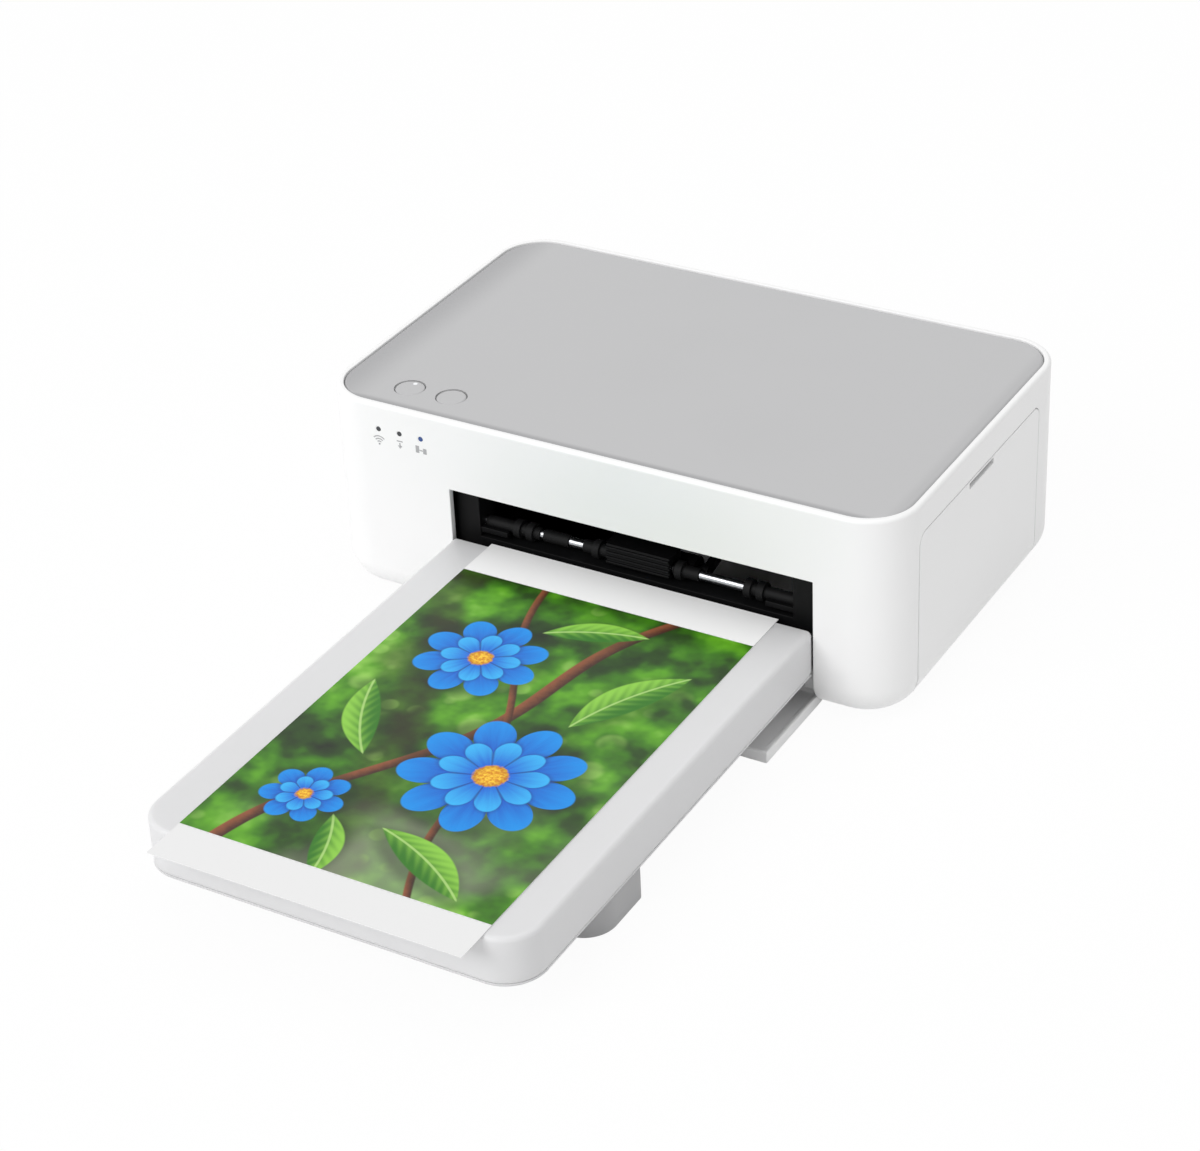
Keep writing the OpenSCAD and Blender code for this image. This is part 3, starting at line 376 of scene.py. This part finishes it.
def printed_photo():
    """Glossy photographic print: a flowering plant in a green garden, white strips at both ends,
    with painted light making the paper lighter towards the rear.
    """
    finish = Finish("photo_surface", Roughness=0.3, Specular_IOR_Level=0.3)
    x, y, z = finish.xyz()
    across, along = x - PRINT_MIDDLE[0], y - PRINT_MIDDLE[1]
    tone = stem(finish, foliage(finish, across, along), across, along)
    for row in LEAVES:
        tone = leaf(finish, tone, across, along, *row)
    for row in BLOSSOMS:
        tone = blossom(finish, tone, across, along, *row)
    grain = finish.noise(1.6, 2.0)
    # painted light: the white paper is darker towards the front end and lighter towards the rear
    # end, by the printer
    paper = finish.mix(along.fade(-60, 70), "#E8E8E8", "#FBFBFB")
    tear_line = (along.size() - PRINT_HALF_L - TEAR_OFF).size().fade(0.3, 0.1)
    tear = tear_line * (x * 3.0).wave().fade(-0.2, 0.4)
    paper = finish.mix(0.16 * tear, paper, "#8A8A8A")
    shows = (PRINT_HALF_L - along.size()).fade(-0.06, 0.06) * z.fade(PRINT_TOP - 0.02, PRINT_TOP)
    finish.set(Base_Color=finish.mix(shows, paper, tone))
    return finish.bump(grain, 0.25, 0.003)


def panel_paint():
    """Satin grey of the top panel, with painted shade darkening it along its left, front and right
    edges, where it rolls down towards its rim.
    """
    finish = moulded("panel_grey", "#C4C4C5", 0.42, 0.18, 0.012)
    low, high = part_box("top_panel")
    x, y, z = finish.xyz()
    slow = finish.noise(0.02, 2.0)
    # painted shade: the panel's colour darkens towards its left, front and right edges
    left = (x - low.x / MM).fade(16, 1)
    front = (y - low.y / MM).fade(3.2, 0.4)
    right = (high.x / MM - x).fade(6, 0.5)
    shade = (0.55 * left).most(front * 0.8).most(right * 0.3) + 0.12 * (slow - 0.5)
    return finish.set(Base_Color=finish.mix(shade, "#BABABB", "#939395"))


def sheets_of_paper():
    """Photographic paper in a stack: the edges of the sheets show as fine lines."""
    finish = moulded("print_paper", "#F4F4F2", 0.6, 0.3, 0.006)
    z = finish.xyz()[2]
    edges = (z * (2 * math.pi / SHEET_T)).wave().fade(-0.9, 0.2)
    return finish.set(Base_Color=finish.mix(edges, "#C9C8C4", "#F4F4F2"))


def populated_board():
    """Green circuit board: copper tracks under the varnish, and grey tops on what stands on it."""
    finish = moulded("circuit_board", "#1F5535", 0.4, 0.8, 0.01)
    x, y, z = finish.xyz()
    wander = finish.noise(0.12, 1.0)
    tracks = ((x + y * 0.4) * 2.4 + 9 * wander).wave().fade(0.55, 0.8)
    rows = ((x - y) * 1.1 + 5 * wander).wave().fade(0.0, 0.3)
    pads = finish.cells(0.42, 0.4).fade(0.2, 0.14)
    tone = finish.mix(tracks * rows * 0.8, "#1B4F30", "#3F8A55")
    tone = finish.mix(pads * 0.9, tone, "#C9B472")
    return finish.set(Base_Color=tone, Roughness=0.45 - 0.15 * pads)


def lamp_lenses():
    """Small dark lenses of the three lamps on the front; the one on the right is blue."""
    finish = moulded("lamp_blue", "#3C3E42", 0.2, 1.0, 0.001)
    x = finish.xyz()[0]
    tone = finish.mix(x.fade(-66.5, -65.5), "#3C3E42", "#33508C")
    return finish.set(Base_Color=tone)


FINISHES = {
    "white_gloss": moulded("white_gloss", "#F4F4F4", 0.34, 0.5, 0.004, Specular_IOR_Level=0.25,
                           Coat_Weight=0.05, Coat_Roughness=0.15),
    "panel_grey": panel_paint(),
    "frosted_plastic": frosted(),
    "foot_grey": moulded("foot_grey", "#AEAEAF", 0.45, 0.3, 0.01),
    "black_plastic": moulded("black_plastic", "#0B0B0C", 0.55, 0.3, 0.015, Specular_IOR_Level=0.15),
    "cartridge_grey": moulded("cartridge_grey", "#3A3D42", 0.5, 0.3, 0.015),
    "black_rubber": moulded("black_rubber", "#0F0F10", 0.65, 0.25, 0.02, Specular_IOR_Level=0.2),
    "steel": brushed("steel", "#B9BBBF", 0.28, 0),
    "gear_plastic": moulded("gear_plastic", "#E6E2D4", 0.4, 0.4, 0.01),
    "brass": brushed("brass", "#D8B060", 0.3, 0),
    "print_paper": sheets_of_paper(),
    "photo_surface": printed_photo(),
    "ribbon_film": moulded("ribbon_film", "#40306A", 0.15, 2.0, 0.004),
    "aluminium": brushed("aluminium", "#C4C6CA", 0.35, 0),
    "circuit_board": populated_board(),
    "lamp_white": moulded("lamp_white", "#F6F8FA", 0.2, 1.0, 0.001),
    "lamp_blue": lamp_lenses(),
}
SLOT_OF = {row["node"]: row["material_slot"] for row in frame["record"]["subparts"]}
LOOK_OF = {"pickup_arm": "black_plastic"}        # the others look as their slot says


def paint_cad():
    """Every CAD node gets its slot's finish; those that show are replaced further down."""
    for name, node in frame["nodes"].items():
        node.data.materials.clear()
        node.data.materials.append(FINISHES[SLOT_OF[name]].material)


paint_cad()


# ---------------------------------------------------------------- mesh helpers

BODY_OF = {node: body for body, nodes in frame["record"]["behaviour"]["bodies"].items()
           for node in nodes}
WELD = 0.06            # millimetres: shorter edges of the CAD's meshes are closed up
HARD = 32              # degrees: a sharper edge is a hard one


def finish_piece(name, bm, finish, body, stands_for=()):
    """An object made of bm, in metres, with smooth shading that keeps flat faces flat."""
    data = bpy.data.meshes.new(name)
    for face in bm.faces:
        face.smooth = True
    bm.to_mesh(data)
    bm.free()
    piece = bpy.data.objects.new(name, data)
    bpy.context.scene.collection.objects.link(piece)
    data.materials.append(finish.material)
    weigh = piece.modifiers.new("flat faces stay flat", "WEIGHTED_NORMAL")
    weigh.mode = "FACE_AREA_WITH_ANGLE"
    weigh.keep_sharp = True
    if stands_for:
        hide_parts(*stands_for)
    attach(piece, body)
    return piece


def hard_edges(bm):
    bm.normal_update()
    return [edge for edge in bm.edges
            if len(edge.link_faces) == 2 and edge.calc_face_angle(0) > math.radians(HARD)]


def round_edges(bm, width, segments=2, edges=None):
    """Rounds the edges to that width in millimetres; all hard edges, if none are named."""
    bmesh.ops.bevel(bm, geom=hard_edges(bm) if edges is None else edges, offset=width * MM,
                    offset_type="OFFSET", segments=segments, profile=0.5, affect="EDGES",
                    clamp_overlap=False)


def clean_copy(node):
    """The CAD node's mesh without its slivers, and with flat faces in one piece."""
    bm = bmesh.new()
    bm.from_mesh(frame["nodes"][node].data)
    bmesh.ops.remove_doubles(bm, verts=bm.verts, dist=WELD * MM)
    bmesh.ops.dissolve_limit(bm, angle_limit=math.radians(0.3), verts=bm.verts, edges=bm.edges)
    return bm


def rounded_copy(node, width):
    """The node's own shape, with its hard edges rounded to that width, in place of the node."""
    bm = clean_copy(node)
    round_edges(bm, width)
    finish = FINISHES[LOOK_OF.get(node, SLOT_OF[node])]
    return finish_piece(node + "_body", bm, finish, BODY_OF[node], (node,))


PANEL_ROLL = 0.9       # millimetres: width of the soft rim of the grey panel
PANEL_RIM = 6          # millimetres: its holes lie further in than this


def panel_top():
    """The grey panel: its outer rim rolls down softly, its button holes stay crisp."""
    bm = clean_copy("top_panel")
    low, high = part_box("top_panel")
    inside = PANEL_RIM * MM

    def on_rim(edge):
        return all(abs(v.co.z - high.z) < 0.2 * MM and not (
            low.x + inside < v.co.x < high.x - inside and low.y + inside < v.co.y < high.y - inside)
            for v in edge.verts)

    rim = [edge for edge in hard_edges(bm) if on_rim(edge)]
    round_edges(bm, PANEL_ROLL, 4, rim)
    return finish_piece("top_panel_body", bm, FINISHES["panel_grey"], BODY_OF["top_panel"],
                        ("top_panel",))


# Width of the rounding on the hard edges of each piece that shows, in millimetres
EDGE_WIDTH = {
    "outer_shell": 0.3, "ribbon_door": 0.25, "front_door": 0.35, "cassette_lid": 0.12,
    "cassette_tray": 0.12, "cassette_foot": 0.4, "base_plate": 0.2, "rubber_feet": 0.3,
    "exit_frame": 0.2, "exit_guide": 0.2, "exit_rollers": 0.2, "exit_shaft": 0.15,
    "power_inlet": 0.15, "usb_socket": 0.1, "ribbon_door_latch": 0.2, "fan_frame": 0.2,
    "paper_guide": 0.15, "lift_plate": 0.1, "cartridge_shell": 0.2, "pickup_arm": 0.2,
    "pickup_roller": 0.2, "heat_sink": 0.15, "motor": 0.3, "front_door_pins": 0.15,
    "ribbon_door_pins": 0.15, "lid_pins": 0.15, "case_screws": 0.12, "takeup_spool": 0.2,
    "supply_spool": 0.2, "print_head": 0.2, "head_arm": 0.15, "button_domes": 0.1,
}
for part, width in EDGE_WIDTH.items():
    rounded_copy(part, width)
panel_top()
rounded_copy("power_button", 0.08)
rounded_copy("mode_button", 0.08)


MARK_PROUD = 0.02      # millimetres: how far the printed marks stand off the front
MARK_ROOT = 0.05       # millimetres: how deep they reach into it


def flat_marks(name, outlines, finish, body):
    """Thin marks on the front face, from outlines in x and z."""
    bm = bmesh.new()
    for outline in outlines:
        rows = [[bm.verts.new((x * MM, (FRONT + depth) * MM, z * MM)) for x, z in outline]
                for depth in (MARK_ROOT, -MARK_PROUD)]
        bm.faces.new(rows[0])
        bm.faces.new(rows[1][::-1])
        for i in range(len(outline)):
            j = (i + 1) % len(outline)
            bm.faces.new((rows[0][i], rows[1][i], rows[1][j], rows[0][j]))
    bmesh.ops.recalc_face_normals(bm, faces=bm.faces)
    return finish_piece(name, bm, finish, body)


def arc_band(cx, cz, r, width, first, last, steps=10):
    """Outline of a band along a circle's arc, between two angles in degrees."""
    angles = [math.radians(first + (last - first) * i / steps) for i in range(steps + 1)]
    outer, inner = [[(cx + reach * math.cos(a), cz + reach * math.sin(a)) for a in angles]
                    for reach in (r + width / 2, r - width / 2)]
    return outer + inner[::-1]


def bar(x0, z0, x1, z1):
    """Outline of an upright rectangle between two corners."""
    return [(x0, z0), (x1, z0), (x1, z1), (x0, z1)]


LAMP_X = (-77.3, -69.6, -61.8)
MARK_Z = 58.6          # height of the symbols' middle


def lamp_marks():
    """Plain symbols under the three lamps: radio waves, a sheet being fed, two reels of ribbon."""
    a, b, c = LAMP_X
    waves = [arc_band(a, MARK_Z - 1.5, r, 0.42, 45, 135) for r in (0.95, 1.85, 2.75)]
    waves.append(arc_band(a, MARK_Z - 1.5, 0.17, 0.34, 0, 359, 12))
    feed = [bar(b - 1.1, MARK_Z + 0.95, b + 1.1, MARK_Z + 1.35),
            bar(b - 0.22, MARK_Z - 0.5, b + 0.22, MARK_Z + 0.6),
            [(b - 0.8, MARK_Z - 0.4), (b, MARK_Z - 1.5), (b + 0.8, MARK_Z - 0.4)]]
    reels = [bar(c - 2.0, MARK_Z - 1.3, c - 0.7, MARK_Z + 1.2),
             bar(c + 0.7, MARK_Z - 1.3, c + 2.0, MARK_Z + 0.6),
             bar(c - 0.6, MARK_Z - 0.5, c + 0.6, MARK_Z - 0.1)]
    ink = moulded("mark_grey", "#ABABAD", 0.5, 0.3, 0.002)
    flat_marks("lamp_marks", waves + feed + reels, ink, BODY_OF["outer_shell"])


lamp_marks()


# ---------------------------------------------------------------- studio

FLOOR_REACH = 6.0      # metres, each way
FLOOR_GLOW = 0.95      # share of plain white in what the camera sees of the floor
WORLD_LIGHT = 0.58
LAMPS = [              # name, place and target in metres, width and height in metres, watts
    ("key", (-1.15, -3.1, 2.5), (0, -0.05, 0.03), 2.8, 2.0, 84),
    ("top", (0.1, 0.3, 1.8), (0, 0, 0), 1.6, 1.6, 8),
]


def backdrop_rays(finish):
    """1 for what the camera sees straight on, mirrored or through clear plastic, else 0."""
    straight, mirrored, through = [finish.node("ShaderNodeLightPath", out="Is %s Ray" % kind)
                                   for kind in ("Camera", "Glossy", "Transmission")]
    return straight.most(mirrored).most(through)


def white_stage():
    """Big pale floor that shows as white to the camera and keeps a soft shadow."""
    data = bpy.data.meshes.new("floor")
    signs = ((-1, -1), (1, -1), (1, 1), (-1, 1))
    corners = [(x * FLOOR_REACH, y * FLOOR_REACH, 0) for x, y in signs]
    data.from_pydata(corners, [], [(0, 1, 2, 3)])
    floor = bpy.data.objects.new("floor", data)
    bpy.context.scene.collection.objects.link(floor)
    finish = Finish("floor", Base_Color="#F4F4F4", Roughness=0.9)
    glow = finish.node("ShaderNodeEmission", (), {"Color": 1.0, "Strength": 1.0})
    lit = Wire(finish, finish.shader.outputs[0])
    mixed = finish.node("ShaderNodeMixShader", (),
                        {0: backdrop_rays(finish) * FLOOR_GLOW, 1: lit, 2: glow})
    finish._put(finish.tree.nodes["Material Output"].inputs["Surface"], mixed)
    data.materials.append(finish.material)


def white_world():
    """Plain soft light from all around, which the camera sees as white."""
    sky = Finish("studio", bpy.data.worlds.new("studio"), Color=1.0)
    sky.set(Strength=WORLD_LIGHT + (1 - WORLD_LIGHT) * backdrop_rays(sky))
    bpy.context.scene.world = sky.material


place_camera()
white_stage()
white_world()
for lamp in LAMPS:
    area_lamp(*lamp)
bpy.context.scene.view_settings.view_transform = "Standard"
